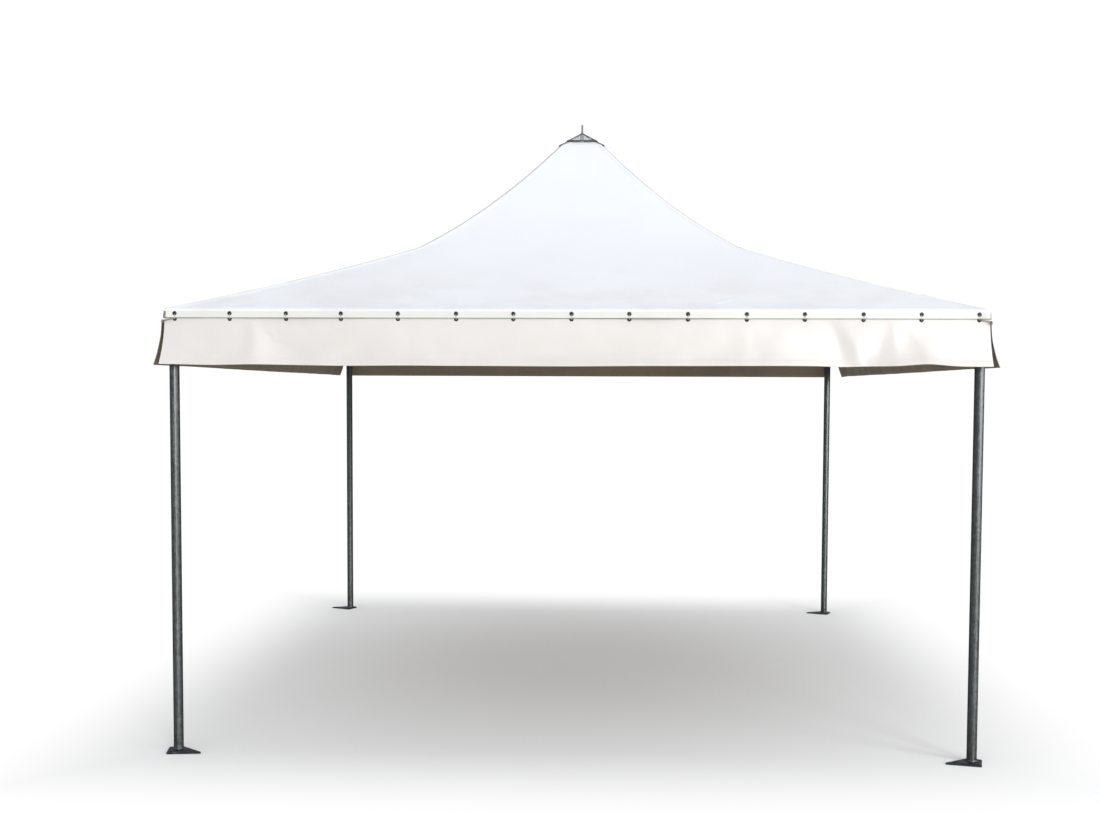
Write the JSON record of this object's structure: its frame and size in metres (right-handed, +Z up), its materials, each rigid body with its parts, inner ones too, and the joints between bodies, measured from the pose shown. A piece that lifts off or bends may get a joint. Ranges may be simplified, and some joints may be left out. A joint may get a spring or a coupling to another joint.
{
  "type": "marquee tent",
  "caption": "Square white marquee tent: concave hipped fabric roof with a hanging valance, metal peak cap and pin, on round galvanised steel legs with flat foot plates.",
  "frame": {"origin": "on the ground under the peak, in the middle of the four legs", "axes": "+Z up, +X to the right seen from the front, and the front faces -Y"},
  "size_m": [4.1498, 4.0926, 3.53],
  "materials": {
    "galvanised_tube": "weathered hot-dip galvanising, satin",
    "dark_steel": "dull dark galvanised plate",
    "roof_pvc": "smooth coated fabric, slightly bluish white, satin",
    "valance_pvc": "smooth coated fabric, warm white outside and taupe inside, satin"
  },
  "bodies": {
    "root": {"foot_plate_front_left": "dark_steel", "foot_plate_front_right": "dark_steel", "foot_plate_back_right": "dark_steel", "foot_plate_back_left": "dark_steel", "leg_front_left": "galvanised_tube", "leg_front_right": "galvanised_tube", "leg_back_right": "galvanised_tube", "leg_back_left": "galvanised_tube", "corner_joint_front_left": "galvanised_tube", "corner_joint_front_right": "galvanised_tube", "corner_joint_back_right": "galvanised_tube", "corner_joint_back_left": "galvanised_tube", "eave_tube_front": "galvanised_tube", "eave_tube_right": "galvanised_tube", "eave_tube_back": "galvanised_tube", "eave_tube_left": "galvanised_tube", "hip_rafter_lower_front_left": "galvanised_tube", "hip_rafter_lower_front_right": "galvanised_tube", "hip_rafter_lower_back_right": "galvanised_tube", "hip_rafter_lower_back_left": "galvanised_tube", "knee_sleeve_front_left": "galvanised_tube", "knee_sleeve_front_right": "galvanised_tube", "knee_sleeve_back_right": "galvanised_tube", "knee_sleeve_back_left": "galvanised_tube", "hip_rafter_upper_front_left": "galvanised_tube", "hip_rafter_upper_front_right": "galvanised_tube", "hip_rafter_upper_back_right": "galvanised_tube", "hip_rafter_upper_back_left": "galvanised_tube", "crown_plate": "galvanised_tube", "peak_cap": "dark_steel", "finial_pin": "dark_steel", "roof_panel_front": "roof_pvc", "roof_panel_right": "roof_pvc", "roof_panel_back": "roof_pvc", "roof_panel_left": "roof_pvc", "valance_front": "valance_pvc", "valance_right": "valance_pvc", "valance_back": "valance_pvc", "valance_left": "valance_pvc"}
  },
  "joints": []
}
